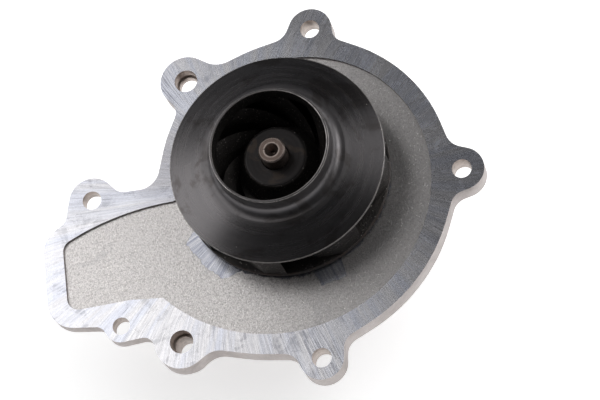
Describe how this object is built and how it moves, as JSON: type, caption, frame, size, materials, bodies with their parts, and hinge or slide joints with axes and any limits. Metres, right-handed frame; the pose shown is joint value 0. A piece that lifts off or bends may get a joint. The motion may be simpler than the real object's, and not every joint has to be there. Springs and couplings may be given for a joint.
{
  "type": "water pump",
  "caption": "Engine coolant pump: flat die-cast cover with seven bolt ears and a side outlet, closed black impeller on top, pulley hub beneath.",
  "frame": {"origin": "centre of the drive hub's pulley face, on the shaft axis, at the pump's lowest plane", "axes": "+Z along the shaft towards the impeller and the engine block; +X parallel to the line from the left ear hole to the right ear hole, away from the outlet; +Y completes the right-handed frame, towards the top ear"},
  "size_m": [0.161, 0.1409, 0.0893],
  "materials": {
    "cast_aluminium": "machined and as-cast",
    "impeller_iron": "black coated, turned",
    "shaft_steel": "ground",
    "hub_steel": "turned, oiled",
    "bearing_steel": "ground and polished",
    "cage_polymer": "moulded, natural amber",
    "black_rubber": "moulded",
    "stamped_stainless": "drawn sheet",
    "spring_steel": "drawn wire",
    "carbon": "lapped carbon graphite",
    "ceramic": "lapped ceramic",
    "plug_steel": "zinc plated"
  },
  "bodies": {
    "housing": {"pump_housing": "cast_aluminium", "weep_reservoir_plug": "plug_steel", "bearing_outer_ring": "bearing_steel", "inner_bearing_seal": "black_rubber", "inner_bearing_seal_insert": "stamped_stainless", "outer_bearing_seal": "black_rubber", "outer_bearing_seal_insert": "stamped_stainless", "seal_case": "stamped_stainless", "seal_bellows": "black_rubber", "seal_spring": "spring_steel", "seal_spring_collar": "stamped_stainless", "seal_carbon_ring": "carbon"},
    "rotor": {"pump_shaft": "shaft_steel", "impeller": "impeller_iron", "drive_hub": "hub_steel", "seal_mating_ring": "ceramic", "mating_ring_cup": "black_rubber", "slinger_ring": "black_rubber"},
    "ball_row": {"bearing_balls": "bearing_steel", "ball_cage": "cage_polymer"},
    "roller_row": {"bearing_rollers": "bearing_steel", "roller_cage": "cage_polymer"}
  },
  "joints": [
    {"name": "rotor_spin", "type": "hinge", "parent": "housing", "child": "rotor", "pos_m": [0, 0, 0.0285], "axis": [0, 0, 1], "continuous": true},
    {"name": "ball_row_spin", "type": "hinge", "parent": "housing", "child": "ball_row", "pos_m": [0, 0, 0.0355], "axis": [0, 0, 1], "continuous": true},
    {"name": "roller_row_spin", "type": "hinge", "parent": "housing", "child": "roller_row", "pos_m": [0, 0, 0.0215], "axis": [0, 0, 1], "continuous": true}
  ],
  "couplings": [
    {"joint": "ball_row_spin", "follows": "rotor_spin", "ratio": 0.3663},
    {"joint": "roller_row_spin", "follows": "rotor_spin", "ratio": 0.3905}
  ]
}
